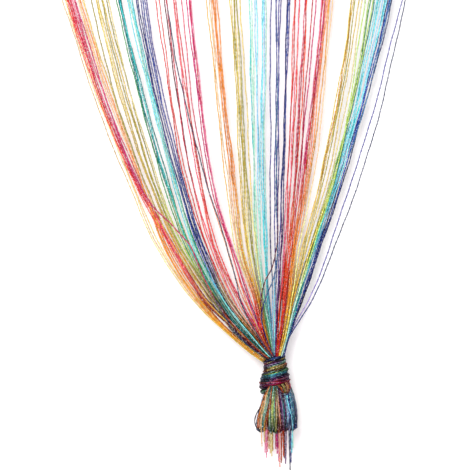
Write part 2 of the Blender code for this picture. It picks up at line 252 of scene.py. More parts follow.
# The knot: filling, turns, and the yarns wound on each turn from its top to its bottom.
KNOT_HEIGHT = 0.056
FILLING_TOP = 0.006
FILLING_BASE = 0.054
FILLING_HALF_WIDTHS = (0.0125, 0.0178)
FILLING_HALF_DEPTHS = (0.0110, 0.0150)
FILLING_SHIFTS = (-0.0015, 0.0005)
FILLING_RINGS = 24
FILLING_SIDES = 32
FILLING_SQUARENESS = 8
FILLING_TIP = 0.02
PADDING_INSET = 0.0012
PADDING_RINGS = 48
PADDING_SIDES = 12
TURN_RINGS = 96
TURN_SIDES = 5
TURN_YARN_HALF_WIDE = 0.00088
TURN_YARN_HALF_THIN = 0.00068
TURN_YARN_TWIST = 0.010
TURN_SPREAD = math.radians(82)
# A yarn's three dyes are for the knot's left side, its front and back, and its right side. Where a yarn is
# dark at the sides, above all in the near-black dye, that paints the shade where the knot turns away from
# the light.
TURN_COLUMNS = ("drop", "half_width", "half_depth", "half_thickness", "shift", "slant", "bow", "dyes")
TURNS = (
    (7.0, 13.8, 12.8, 3.5, -0.6, 13, 3.0,
     ("black royal purple", "navy steel purple", "black royal navy", "maroon navy black",
      "purple black olive", "rose straw olive", "black purple gold", "maroon lilac forest")),
    (13.4, 14.8, 13.6, 3.6, -0.3, 16, 3.0,
     ("black purple olive", "purple maroon forest", "lilac purple black", "black lilac slate",
      "maroon navy mint", "black mint black", "purple green olive", "black maroon maroon")),
    (20.3, 15.6, 14.4, 3.8, 0.5, 17, 2.0,
     ("black lime maroon", "maroon gold crimson", "black straw red", "rust gold maroon",
      "black olive maroon", "purple maroon black", "rose rust forest", "black rose green")),
    (27.4, 17.1, 15.4, 4.0, 0.5, 14, 1.0,
     ("black lime green", "slate mint forest", "forest lime green", "slate turquoise green",
      "black cyan forest", "steel turquoise navy", "black royal black", "forest navy navy")),
    (34.4, 18.5, 16.2, 4.1, 0.4, 10, 0.0,
     ("slate steel black", "teal navy navy", "black sky black", "steel navy purple",
      "slate purple maroon", "black rose lilac", "teal purple purple", "black lilac maroon")),
    (41.3, 19.4, 16.8, 4.2, 0.3, 7, 0.0,
     ("teal indigo black", "black purple maroon", "maroon crimson purple", "crimson pink crimson",
      "purple magenta crimson", "maroon crimson maroon", "black maroon rust", "purple salmon black")),
    (44.6, 19.0, 12.5, 3.7, -0.9, 8, 1.5,
     ("purple salmon rust", "lilac scarlet maroon", "purple red rust", "maroon black maroon",
      "purple rust black", "black purple maroon", "maroon black rust", "purple forest black")),
    (48.8, 17.0, 11.8, 3.3, -3.2, 22, 1.8,
     ("rust black purple", "forest maroon black", "black black rust", "green forest black",
      "mint black maroon", "forest green black", "black forest black", "teal black forest")),
)
SWAY_ANGLE = 0.24
SWAY_OUT = 0.00035
DYE_DRIFT = 0.25

# The bundle that slants down under the knot's lower right: the first yarn's start, bend and end
# as (place, drop), and how far the next one lies from it.
BUNDLE_DYES = ("orange scarlet maroon", "salmon orange rust", "black maroon black",
               "straw gold olive", "olive tan maroon", "black rust black", "orange peach rust",
               "salmon orange maroon", "maroon rust black", "crimson rose maroon")
BUNDLE_FIRST = ((0.0045, 0.0450), (0.0100, 0.0500), (0.0125, 0.0575))
BUNDLE_STEPS = ((0.0018, -0.0006), (0.0018, -0.0004), (0.0009, 0.0001))
BUNDLE_FRONT = 0.0212
BUNDLE_SIDE = 0.0246
BUNDLE_EDGE = 0.985
BUNDLE_TUCK = 0.22
BUNDLE_RINGS = 40

# The tuft: locks of yarns folded back on themselves, in layers from the front to the back. A lock
# has its places at four drops and at its fold, the fold's drop and its half width, in mm.
TUFT_ROOT_DROP = 0.044
TUFT_FAN_DROP = 0.105
TUFT_LEAN = 0.004
TUFT_HALF_WIDTHS = (0.0240, 0.0325)
TUFT_HALF_DEPTHS = (0.0160, 0.0225)
TUFT_EDGE = 0.06
TUFT_MIDDLE_Y = 0.004
LOCK_DROPS = (0.044, 0.060, 0.075, 0.099)
LOCK_COLUMNS = ("places", "fold_x", "fold_drop", "half_width", "dyes")
# Each lock's dyes run from root to middle to fold. The near-black dye paints shade under the knot and among
# the folds, and the darker fold dyes are partly the yarns' own colours and partly painted shade.
LOCKS = (
    ((-8, -13, -19.5, -29.5), -24.5, 115, 0.3, ("navy black slate",)),
    ((-6, -12.5, -16.8, -22.8), -23.2, 114, 2.6,
     ("rust orange rust", "orange peach salmon", "amber gold peach", "orange peach tan")),
    ((-4.5, -9.5, -13.2, -18.0), -19.8, 115, 1.9,
     ("teal green forest", "forest mint teal", "slate mint forest")),
    ((-3, -6, -8.4, -13.8), -15.2, 113.5, 1.7,
     ("rust maroon rust", "amber rust amber", "maroon rust rust")),
    ((-1, -2.5, -3.4, -3.8), -3.4, 116, 5.4,
     ("teal lime slate", "forest mint slate", "turquoise lime forest", "teal straw slate",
      "forest lime forest", "slate mint olive", "green straw forest")),
    ((2, 3.2, 4.5, 5.3), 4.4, 115, 2.5,
     ("forest tan olive", "maroon maroon maroon", "olive tan rust", "teal salmon maroon")),
    ((5, 8, 10.5, 13.0), 12.5, 115.5, 3.4,
     ("black black maroon", "maroon purple maroon", "purple lilac purple", "black teal maroon",
      "maroon purple black")),
    ((9, 14, 17, 18), 17.5, 113, 1.9,
     ("black black slate", "green lilac maroon", "black sky slate", "slate sky maroon")),
    ((14, 18.5, 21, 21.3), 22.5, 114, 2.1,
     ("black navy slate", "navy navy lilac", "navy royal slate", "forest navy slate")),
    ((18, 22.5, 24.8, 25.2), 25.8, 114.5, 2.1,
     ("slate sky slate", "steel cyan sky", "sky steel slate", "steel teal navy")),
    ((20, 26, 29.0, 30.5), 29.8, 113, 1.6,
     ("sky steel slate", "lilac slate navy", "sky slate slate")),
    ((18, 23, 27.0, 31.4), 32.8, 106, 0.3, ("navy slate slate",)),
)
# Each layer's depth as a share of the tuft's, from the front at -1, and how far its dyes are
# moved along the row of yarns.
LAYER_COLUMNS = ("depth", "dye_shift")
LAYERS = ((-1.0, 0), (-0.62, 3), (-0.15, 8), (0.35, 13), (0.80, 21))
LOCK_RINGS = 64
LOCK_EVENNESS = 0.5
LOCK_WAVES = ((0.7, 0.0005), (1.6, 0.0006))
ROOT_SPREAD = 0.45
HANG_DROP = 0.030
DEPTH_SPREAD = 0.0012
FOLD_POWERS = (2.4, 3.4)
FOLD_SHARE = 0.30
FOLD_DROP = 0.115
FOLD_INSET = 0.0042
FOLD_ASIDE = 0.0018
SINGLE_ASIDE = 0.0080
FOLD_DROP_SPREAD = 0.006
TUFT_YARN_HALF_WIDE = 0.00112
TUFT_YARN_HALF_THIN = 0.00084
TUFT_YARN_TWIST = 0.020
# The loose ends: a tip's place and drop in mm, how many of its three yarns show below the
# folds, and their dyes.
END_COLUMNS = ("tip_x", "tip_drop", "shown", "dyes")
ENDS = (
    (-19.3, 137, 1, ("peach", "salmon", "peach")),
    (-16.5, 130, 1, ("straw", "mint", "straw")),
    (-11.8, 153, 3, ("pink", "rose", "pink")),
    (-7.6, 147, 3, ("tan", "straw", "amber")),
    (-3.6, 151, 3, ("straw", "amber", "tan")),
    (2.6, 147, 3, ("magenta", "purple", "magenta")),
    (7.2, 167, 3, ("salmon", "coral", "pink")),
    (10.8, 161, 3, ("rust", "scarlet", "rose")),
    (15.8, 162, 3, ("purple", "green", "maroon")),
    (22.0, 172, 2, ("slate", "indigo", "lilac")),
    (26.4, 146, 3, ("cyan", "mint", "sky")),
)
END_ROWS = (-0.0150, -0.0030, 0.0090)
END_ASIDE = (0.0, 0.0017, -0.0014)
END_SHARES = (1.0, 0.86, 0.93)
END_START = 0.060
END_SPREAD = 0.35
END_RINGS = 60
END_SWAY = 0.0010
END_WAVE = 0.030

# The heading cloth, ribbed across.
RIB_PITCH = 0.0024
RIB_RELIEF = 0.00012
RIB_STEPS = 4
BAR_SIDES = 24
BAR_SQUARENESS = 6
BAR_LEAST_STEPS = 8
STRIP_RIBS = 4

# The lurex. Each pair is for yarn that hangs free and for yarn wound in the knot. Scales are
# round the yarn and along it, and lines are those of the twist, to a metre. The lighter and
# darker stretches are painted glint and shade, darkest as painted shade between wound yarns,
# and the flecks are painted glints lifted towards white.
STRETCH_SCALE = (2.0, 280.0, 1.0)
STRETCH_RANGE = (0.37, 0.63)
DEEP_SHADE = (0.68, 0.03)
BRIGHT_SHADE = (1.12, 0.92)
GLINT_SCALE = (4.0, 430.0, 1.0)
GLINT_START = (0.60, 0.64)
GLINT_FULL = (0.70, 0.68)
GLINT_GAIN = 2.2
GLINT_WHITENING = (0.70, 0.42)
METAL = (0.35, 0.75)
TWIST_LINES = 420.0
TWIST_STARTS = 2.0

# The heading's cloth: its white, its threads and its uneven patches.
HEADING_WHITE = (0.90, 0.88, 0.85)
THREAD_SCALE = (420.0, 1.0, 1300.0)
THREAD_TONES = (0.78, 1.0)
PATCH_SCALE = 24.0
PATCH_TONES = (0.92, 1.02)

# The camera: the photograph's frame is 0.705 m wide at the curtain, seen straight on.
LENS = 100
SENSOR = 36
FRAME_WIDTH = 0.705
FRAME_CENTRE = (0.04075, -1.3375)

# The stage.
WALL_Y = 0.0240
FLOOR_Z = -2.0
STAGE_HALF = 2.6
STAGE_TOP = 0.8
WALL_WHITE = (0.90, 0.90, 0.90, 1.0)
WALL_GLOW_COLOUR = (1.0, 0.94, 0.95, 1.0)
WALL_GLOW = 0.20
FLOOR_WHITE = (0.82, 0.81, 0.80, 1.0)
LIGHT_PLACE = (-0.50, -1.9, -0.50)
LIGHT_AIM = (KNOT_X, 0.0, -1.30)
LIGHT_SIZE = 1.0
LIGHT_POWER = 34.0
SURROUND_COLOUR = (1.0, 0.955, 0.985, 1.0)
SURROUND_STRENGTH = 0.76

seeds = np.random.default_rng(20)


def rows(columns, table):
    return [dict(zip(columns, row)) for row in table]


def linear(colour):
    """An sRGB colour as linear light, with 1.0 after it."""
    channels = np.array(colour, float)
    light = np.where(channels <= 0.04045, channels / 12.92, ((channels + 0.055) / 1.055) ** 2.4)
    return (*light, 1.0)


def unit(vectors):
    return vectors / np.linalg.norm(vectors, axis=-1, keepdims=True)


def smooth_step(share):
    """0 up to 0, 1 from 1 on, and 3s^2 - 2s^3 between."""
    share = np.clip(share, 0, 1)
    return share * share * (3 - 2 * share)


def smooth_through(steps, values, at):
    """The cubic curve through the values, with each slope taken from its two neighbours."""
    slopes = np.gradient(values, steps)
    place = np.clip(np.searchsorted(steps, at, side="right") - 1, 0, len(steps) - 2)
    span = steps[place + 1] - steps[place]
    share = (at - steps[place]) / span
    rest = 1 - share
    start = (1 + 2 * share) * rest**2 * values[place] + share * rest**2 * span * slopes[place]
    end = share**2 * (3 - 2 * share) * values[place + 1] - share**2 * rest * span * slopes[place + 1]
    return start + end


def run_length(routes, closed=False):
    """Distance along each route to each of its points, and the whole length."""
    steps = np.linalg.norm(np.roll(routes, -1, axis=1) - routes, axis=2)
    total = np.cumsum(steps, axis=1)
    reached = np.concatenate([np.zeros_like(total[:, :1]), total[:, :-1]], axis=1)
    return reached, total[:, -1:] if closed else reached[:, -1:]


def swept(routes, facing, half_wide, half_thin, roll, sides, closed=False):
    """Rings of flat yarn along many routes at once, as (yarns, rings, sides, 3).

    Each ring is the route's point + wide cos(a) across + thin sin(a) out, turned by roll. Out is
    the part of facing that is square to the route, and across is square to both.
    """
    if closed:
        along = unit(np.roll(routes, -1, axis=1) - np.roll(routes, 1, axis=1))
    else:
        along = unit(np.gradient(routes, axis=1))
    out = unit(facing - along * np.sum(facing * along, axis=2, keepdims=True))
    across = np.cross(along, out)
    angle = TURN * np.arange(sides) / sides
    wide = np.broadcast_to(half_wide, roll.shape)[..., None] * np.cos(angle)
    thin = np.broadcast_to(half_thin, roll.shape)[..., None] * np.sin(angle)
    turned = (roll[..., None], np.cos(roll)[..., None], np.sin(roll)[..., None])
    side = wide * turned[1] - thin * turned[2]
    rise = wide * turned[2] + thin * turned[1]
    ring = side[..., None] * across[:, :, None] + rise[..., None] * out[:, :, None]
    return routes[:, :, None] + ring


def rings_mesh(rings, dyes, lengths, total, closed=False):
    """Faces, pattern places and dyes of ringed yarns: quads between rings, and a cap at each end.

    The pattern place of a corner is (its share round the yarn + the yarn's number, its distance
    along the yarn in metres).
    """
    yarns, steps, sides, _ = rings.shape
    number = np.arange(yarns * steps * sides).reshape(yarns, steps, sides)
    after = np.roll(number, -1, axis=1)
    quads = np.stack([number, after, np.roll(after, -1, axis=2), np.roll(number, -1, axis=2)], -1)
    around = np.arange(sides) / sides + np.arange(yarns)[:, None] * PATTERN_STEP
    around = np.broadcast_to(around[:, None, :], number.shape)
    here = np.broadcast_to(lengths[:, :, None], number.shape)
    there = np.concatenate([lengths[:, 1:], total], axis=1)
    there = np.broadcast_to(there[:, :, None], number.shape)
    beside = around + 1 / sides
    places = np.stack([around, here, around, there, beside, there, beside, here], -1)
    if not closed:
        quads = quads[:, :-1]
        places = places[:, :-1]
    faces = quads.reshape(-1, 4).tolist()
    places = places.reshape(-1, 2)
    if not closed:
        caps = np.concatenate([number[:, 0], number[:, -1, ::-1]])
        faces += caps.tolist()
        flat = np.concatenate([np.stack([around[:, 0], here[:, 0]], -1),
                               np.stack([around[:, -1], here[:, -1]], -1)])
        places = np.concatenate([places, flat.reshape(-1, 2)])
    colours = np.broadcast_to(dyes[:, :, None, :], (yarns, steps, sides, 4))
    return rings.reshape(-1, 3), faces, places, colours.reshape(-1, 4)


def piece(name, parts, material, replaced):
    """One finished piece from its parts' points, faces, pattern places and dyes."""
    points, faces, places, colours = [], [], [], []
    count = 0
    for part_points, part_faces, part_places, part_colours in parts:
        points.append(part_points)
        faces += [[corner + count for corner in face] for face in part_faces]
        places.append(part_places)
        colours.append(part_colours)
        count += len(part_points)
    mesh = bpy.data.meshes.new(name)
    mesh.from_pydata(np.concatenate(points), [], faces)
    pattern = mesh.uv_layers.new(name="yarn")
    pattern.data.foreach_set("uv", np.concatenate(places).ravel())
    dye = mesh.attributes.new("dye", "FLOAT_COLOR", "POINT")
    dye.data.foreach_set("color", np.concatenate(colours).ravel())
    mesh.shade_smooth()
    mesh.materials.append(material)
    made = bpy.data.objects.new(name, mesh)
    bpy.context.scene.collection.objects.link(made)
    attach(made, "root")
    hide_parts(*replaced)
    return made


def dye_runs(rows_of_names, at, gathered=1.0):
    """Dyes along the yarns, as (yarns, rings, 4), no two yarns quite alike.

    A yarn has its dyes named in one row, and takes its first dye where at is 0, its next one
    where at is 1, and a smooth blend between. The fourth value is how tightly the yarn is gathered
    there, from 0 where it hangs free to 1 in the knot, and the lurex paints deeper shade where it
    is higher.
    """
    colours = np.array([[linear(DYES[name]) for name in names.split()] for names in rows_of_names])
    shade = seeds.uniform(*SHADE_SPREAD, (len(rows_of_names), 1, 1))
    colours[..., :3] = np.clip(colours[..., :3] * shade, 0, 1)
    last = colours.shape[1] - 1
    if last > 0:
        at = np.clip(at, 0, last)
        first = np.minimum(at.astype(int), last - 1)
        share = smooth_step(at - first)[..., None]
        yarn = np.arange(len(colours))[:, None]
        colours = colours[yarn, first] * (1 - share) + colours[yarn, first + 1] * share
    colours[..., 3] = gathered
    return colours


def wander(count, distance, kinks):
    """Sums of sine waves along a yarn, with the wave lengths and sizes of kinks."""
    total = np.zeros((count, distance.shape[-1]))
    for wave, size in kinks:
        start = seeds.uniform(0, TURN, (count, 1))
        stretch = seeds.uniform(*WAVE_STRETCH, (count, 1))
        total += size * np.sin(TURN * distance / wave * stretch + start)
    return total


def string_heights(entry_drop):
    """Heights above the neck of a string's rings: close together where it shows, then wider."""
    strip_base = HEADING_HEIGHT + PIECE_GAP + STRIP_HEIGHT
    root = NECK_DROP - strip_base + ROOT_DEPTH
    shown = np.linspace(-entry_drop, DENSE_TOP, DENSE_RINGS)
    above = np.linspace(DENSE_TOP, root, SPARSE_RINGS + 1)[1:]
    return np.concatenate([shown, above])


def band_strings(band, first, neck_first, count):
    """The routes of a band's strings, as (strings, rings, 3).

    Across, a route is the smooth curve through the string's places at the neck, at the five
    reading heights and at the heading, taken against log(1 + height / bend height).
    """
    routes = []
    for number, place in enumerate(band["places"]):
        share = (first + number) / (count - 1)
        neck_share = (neck_first + number) / (count - 1)
        root_x = (share - 0.5) * (CURTAIN_WIDTH - 2 * EDGE_MARGIN)
        entry_x = KNOT_X + np.interp(neck_share, ENTRY_SHARES, ENTRY_PLACES)
        entry_drop = np.interp(neck_share, ENTRY_SHARES, ENTRY_DROPS)
        even = (number + 0.5) / len(band["places"]) - 0.5
        clump = smooth_step((np.array(READING_HEIGHTS) - CLUMP_START) / (CLUMP_FULL - CLUMP_START))
        across = even + (place - even) * clump
        readings = [band[reading] for reading in READINGS]
        xs = [KNOT_X + (middle + a * width) * MM for (middle, width), a in zip(readings, across)]
        heights = list(READING_HEIGHTS)
        stray = STRAYS.get((band["name"], number))
        if stray:
            heights = [height * MM for height, _ in stray[::-1]]
            xs = [KNOT_X + x * MM for _, x in stray[::-1]]
        height = string_heights(entry_drop)
        steps = np.log1p(np.array([-entry_drop, *heights, height[-1]]) / BEND_HEIGHT)
        x = smooth_through(steps, np.array([entry_x, *xs, root_x]), np.log1p(height / BEND_HEIGHT))
        row = (first + number) * ROW_STEP % NECK_ROWS - (NECK_ROWS - 1) / 2
        if neck_share < ENTRY_SHARES[2]:
            row = -abs(row)
        elif neck_share < ENTRY_SHARES[3]:
            row = abs(row)
        rounding = math.sqrt(1 - ROW_ROUNDING * (2 * neck_share - 1) ** 2)
        depth = STRAY_FRONT if stray else row * ROW_GAP * rounding
        y = depth * np.exp(-np.clip(height, 0, None) / ROW_FADE)
        routes.append(np.column_stack([x, y, height - NECK_DROP]))
    return np.array(routes)


def kinked(routes):
    """The strings with their kinks added. The kinks fade out at the neck and at the heading."""
    height = routes[:, :, 2] + NECK_DROP
    fade = smooth_step(height / KINK_FADE) * smooth_step((height[:, -1:] - height) / KINK_FADE)
    distance = height[0]
    for axis in (0, 1):
        routes[:, :, axis] += fade * wander(len(routes), distance, KINKS)
    return routes


def bar(left, right, top, height, pitch):
    """A woven bar along X: a squared oval carried along X, swelling a little at each rib.

    The oval is y = t |cos a|^(2/n), z = h |sin a|^(2/n) with the signs of cos and sin, and
    t = half the thickness + relief cos(2 pi x / pitch).
    """
    steps = max(BAR_LEAST_STEPS, int(round((right - left) / pitch)) * RIB_STEPS)
    x = np.linspace(left, right, steps + 1)
    half = HEADING_THICKNESS / 2 - RIB_RELIEF + RIB_RELIEF * np.cos(TURN * (x - left) / pitch)
    angle = TURN * np.arange(BAR_SIDES) / BAR_SIDES
    power = 2 / BAR_SQUARENESS
    deep = -np.sign(np.cos(angle)) * np.abs(np.cos(angle)) ** power
    tall = np.sign(np.sin(angle)) * np.abs(np.sin(angle)) ** power
    rings = np.empty((1, len(x), BAR_SIDES, 3))
    rings[0, :, :, 0] = x[:, None]
    rings[0, :, :, 1] = half[:, None] * deep
    rings[0, :, :, 2] = top - height / 2 + height / 2 * tall
    lengths = (x - left)[None]
    return rings, lengths, lengths[:, -1:]


def string_pieces():
    """One piece for each colour band: its strip under the heading and its strings."""
    bands = rows(BAND_COLUMNS, BANDS)
    counts = [len(band["places"]) for band in bands]
    count = sum(counts)
    firsts = np.cumsum([0, *counts])[:-1]
    neck_counts = [counts[index] for index in NECK_ORDER]
    neck_firsts = dict(zip(NECK_ORDER, np.cumsum([0, *neck_counts])[:-1]))
    pitch = (CURTAIN_WIDTH - 2 * EDGE_MARGIN) / (count - 1)
    top = -HEADING_HEIGHT - PIECE_GAP
    for index, band in enumerate(bands):
        routes = kinked(band_strings(band, firsts[index], neck_firsts[index], count))
        lengths, total = run_length(routes)
        start = seeds.uniform(0, TURN, (len(routes), 1))
        roll = TURN * np.arange(routes.shape[1]) / TWIST_RINGS + start
        facing = np.broadcast_to(np.array([0.0, -1.0, 0.0]), routes.shape)
        rings = swept(routes, facing, STRING_HALF_WIDE, STRING_HALF_THIN, roll, STRING_SIDES)
        height = routes[:, :, 2] + NECK_DROP
        gathered = np.interp(height, GATHER_HEIGHTS, (GATHERED_STRINGS, 0))
        dyes = dye_runs(band["dyes"], np.interp(height, DYE_HEIGHTS, (2, 1, 0)), gathered)
        dyes[..., :3] **= np.interp(height, LOW_LIFT_HEIGHTS, (LOW_LIFT_POWER, 1))[..., None]
        dyes[..., :3] *= np.interp(height, LOW_LIFT_HEIGHTS, (LOW_LIFT_GAIN, 1))[..., None]
        dyes = np.minimum(dyes, LIGHTEST)
        left = (firsts[index] - 0.5 - (count - 1) / 2) * pitch + PIECE_GAP / 2
        right = left + counts[index] * pitch - PIECE_GAP
        strip, strip_lengths, strip_total = bar(left, right, top, STRIP_HEIGHT, pitch / STRIP_RIBS)
        parts = [rings_mesh(rings, dyes, lengths, total),
                 rings_mesh(strip, dyes[:1, -1:], strip_lengths, strip_total)]
        slot = "lurex_" + band["name"]
        piece("lurex_strings_" + band["name"], parts, lurex(slot), ["strings_" + band["name"]])


def heading_cloth():
    """The heading: one woven band, ribbed across, with its threads in the material."""
    half = CURTAIN_WIDTH / 2
    rings, lengths, total = bar(-half, half, 0.0, HEADING_HEIGHT, RIB_PITCH)
    white = np.ones((1, 1, 4))
    parts = [rings_mesh(rings, white, lengths, total)]
    cloth = piece("heading_cloth", parts, heading_weave(), ["heading_band"])


def turn_rings(turn, angle_round, section_angle, radius):
    """Points and outward directions on one turn of the knot.

    The turn's centre line is (w cos t, d sin t) on a plane that slants up to the right, with its
    left end lowered by bow cos(t)^2, and a point on it stands radius away, at the section angle
    above the outward direction.
    """
    cos, sin = np.cos(angle_round), np.sin(angle_round)
    wide, deep = turn["half_width"] * MM, turn["half_depth"] * MM
    outward = unit(np.stack([deep * cos, wide * sin], -1))
    x = wide * cos + outward[..., 0] * np.cos(section_angle) * radius
    y = deep * sin + outward[..., 1] * np.cos(section_angle) * radius
    z = np.sin(section_angle) * radius - turn["bow"] * MM * np.clip(-cos, 0, 1) ** 2
    slant = math.radians(turn["slant"])
    place = np.stack([
        KNOT_X + turn["shift"] * MM + x * math.cos(slant) - z * math.sin(slant),
        y,
        -NECK_DROP - turn["drop"] * MM + x * math.sin(slant) + z * math.cos(slant),
    ], -1)
    facing = np.stack([
        outward[..., 0] * np.cos(section_angle),
        outward[..., 1] * np.cos(section_angle),
        np.sin(section_angle),
    ], -1)
    return place, facing


def turn_yarns(turn):
    """The yarns of one turn, side by side from its top to its bottom, each swaying a little."""
    count = len(turn["dyes"])
    spread = np.linspace(TURN_SPREAD, -TURN_SPREAD, count)[:, None]
    round_ = np.broadcast_to(TURN * np.arange(TURN_RINGS) / TURN_RINGS, (count, TURN_RINGS))
    start = seeds.uniform(0, TURN, (count, 2, 1))
    sway = SWAY_ANGLE * np.sin(round_ + start[:, 0]) + SWAY_ANGLE / 2 * np.sin(3 * round_ + start[:, 1])
    out = SWAY_OUT * np.sin(2 * round_ + start[:, 1])
    radius = turn["half_thickness"] * MM - TURN_YARN_HALF_THIN + out
    routes, facing = turn_rings(turn, round_, spread + sway, radius)
    lengths, total = run_length(routes, closed=True)
    turns_of_twist = np.round(total / TURN_YARN_TWIST)
    roll = TURN * turns_of_twist * lengths / total + start[:, 0]
    rings = swept(routes, facing, TURN_YARN_HALF_WIDE, TURN_YARN_HALF_THIN, roll, TURN_SIDES, True)
    # First dye at the left, middle one at front and back, last at the right; dark side dyes are painted
    # shade.
    across = 1 + np.cos(round_) + DYE_DRIFT * np.sin(2 * round_ + start[:, 0])
    return rings_mesh(rings, dye_runs(turn["dyes"], across), lengths, total, closed=True)


def turn_padding(turn):
    """What fills a turn under its yarns: the same ring, a little thinner, dyed near-black as painted shade
    between the yarns.
    """
    angle = TURN * np.arange(PADDING_SIDES) / PADDING_SIDES
    round_ = TURN * np.arange(PADDING_RINGS) / PADDING_RINGS
    grid_round, grid_angle = np.meshgrid(round_, -angle, indexing="ij")
    radius = turn["half_thickness"] * MM - PADDING_INSET
    rings, _ = turn_rings(turn, grid_round, grid_angle, radius)
    lengths = (round_ * turn["half_width"] * MM)[None]
    total = lengths[:, -1:] * PADDING_RINGS / (PADDING_RINGS - 1)
    return rings_mesh(rings[None], dye_runs(("black",), 0), lengths, total, closed=True)


def knot_filling():
    """The strings inside the knot, as one leaning oval cone with rounded ends, dyed near-black as
    painted shade that shows in the gaps between the turns.

    Its half width and half depth run evenly from top to foot, times sqrt(1 - (2s - 1)^n).
    """
    share = np.linspace(0, 1, FILLING_RINGS)
    angle = -TURN * np.arange(FILLING_SIDES) / FILLING_SIDES
    dome = np.sqrt(np.clip(1 - (2 * share - 1) ** FILLING_SQUARENESS, FILLING_TIP, 1))
    wide = np.interp(share, (0, 1), FILLING_HALF_WIDTHS) * dome
    deep = np.interp(share, (0, 1), FILLING_HALF_DEPTHS) * dome
    shift = np.interp(share, (0, 1), FILLING_SHIFTS)
    rings = np.empty((1, FILLING_RINGS, FILLING_SIDES, 3))
    rings[0, :, :, 0] = KNOT_X + shift[:, None] + wide[:, None] * np.cos(angle)
    rings[0, :, :, 1] = deep[:, None] * np.sin(angle)
    drop = FILLING_TOP + share * (FILLING_BASE - FILLING_TOP)
    rings[0, :, :, 2] = -NECK_DROP - drop[:, None]
    lengths = (share * KNOT_HEIGHT)[None]
    return rings_mesh(rings[:, :, ::-1], dye_runs(("black",), 0), lengths, lengths[:, -1:])


def slanting_bundle():
    """Yarns that come from under the knot's lowest full turn and slant down round its right side.

    Seen from the front, a yarn is start (1-s)^2 + bend 2s(1-s) + end s^2, and it lies on an oval
    round the knot's axis, tucking in towards its end.
    """
    share = np.linspace(0, 1, BUNDLE_RINGS)
    number = np.arange(len(BUNDLE_DYES))[:, None, None]
    firsts = np.array(BUNDLE_FIRST)[:, None, None]
    steps = np.array(BUNDLE_STEPS)[:, None, None]
    start, bend, end = firsts + number * steps
    weights = ((1 - share) ** 2, 2 * share * (1 - share), share**2)
    flat = sum(weight[None, :, None] * point for weight, point in zip(weights, (start, bend, end)))
    x, drop = flat[..., 0], flat[..., 1]
    side = np.clip(x / BUNDLE_SIDE, -BUNDLE_EDGE, BUNDLE_EDGE)
    y = -BUNDLE_FRONT * np.sqrt(1 - side**2) * (1 - BUNDLE_TUCK * share**2)
    routes = np.stack([KNOT_X + x, y, -NECK_DROP - drop], -1)
    lengths, total = run_length(routes)
    roll = TURN * lengths / TURN_YARN_TWIST + seeds.uniform(0, TURN, (len(BUNDLE_DYES), 1))
    facing = unit(np.stack([x, y, 0 * x], -1))
    rings = swept(routes, facing, TURN_YARN_HALF_WIDE, TURN_YARN_HALF_THIN, roll, TURN_SIDES)
    return rings_mesh(rings, dye_runs(BUNDLE_DYES, 2 * share[None] + 0 * x), lengths, total)


def knot_pieces():
    """The knot: its filling and padding in painted shade, one piece of yarns a turn, and the slanting
    bundle.
    """
    turns = rows(TURN_COLUMNS, TURNS)
    finish = lurex("lurex_knot")
    replaced = ["gathering_knot"]
    filling = [knot_filling(), *[turn_padding(turn) for turn in turns]]
    piece("knot_filling", filling, finish, replaced)
    for number, turn in enumerate(turns, 1):
        piece(f"knot_turn_{number}", [turn_yarns(turn)], finish, replaced)
    piece("knot_bundle", [slanting_bundle()], finish, replaced)


def tuft_yarns(routes, dyes):
    """Twisted yarns on these routes, facing outwards from the knot's axis."""
    lengths, total = run_length(routes)
    facing = routes - np.array([KNOT_X, TUFT_MIDDLE_Y, 0.0])
    facing[..., 2] = 0
    roll = TURN * lengths / TUFT_YARN_TWIST + seeds.uniform(0, TURN, (len(routes), 1))
    rings = swept(routes, unit(facing), TUFT_YARN_HALF_WIDE, TUFT_YARN_HALF_THIN, roll, STRING_SIDES)
    return rings_mesh(rings, dyes, lengths, total)


def tuft_depth(x, drop):
    """How far the tuft's front lies from its middle: an oval that widens with the drop."""
    share = smooth_step((drop - TUFT_ROOT_DROP) / (TUFT_FAN_DROP - TUFT_ROOT_DROP))
    half_width = TUFT_HALF_WIDTHS[0] + share * (TUFT_HALF_WIDTHS[1] - TUFT_HALF_WIDTHS[0])
    half_depth = TUFT_HALF_DEPTHS[0] + share * (TUFT_HALF_DEPTHS[1] - TUFT_HALF_DEPTHS[0])
    aside = (x - TUFT_LEAN * share) / half_width
    return half_depth * np.sqrt(np.clip(1 - aside**2, TUFT_EDGE, 1))


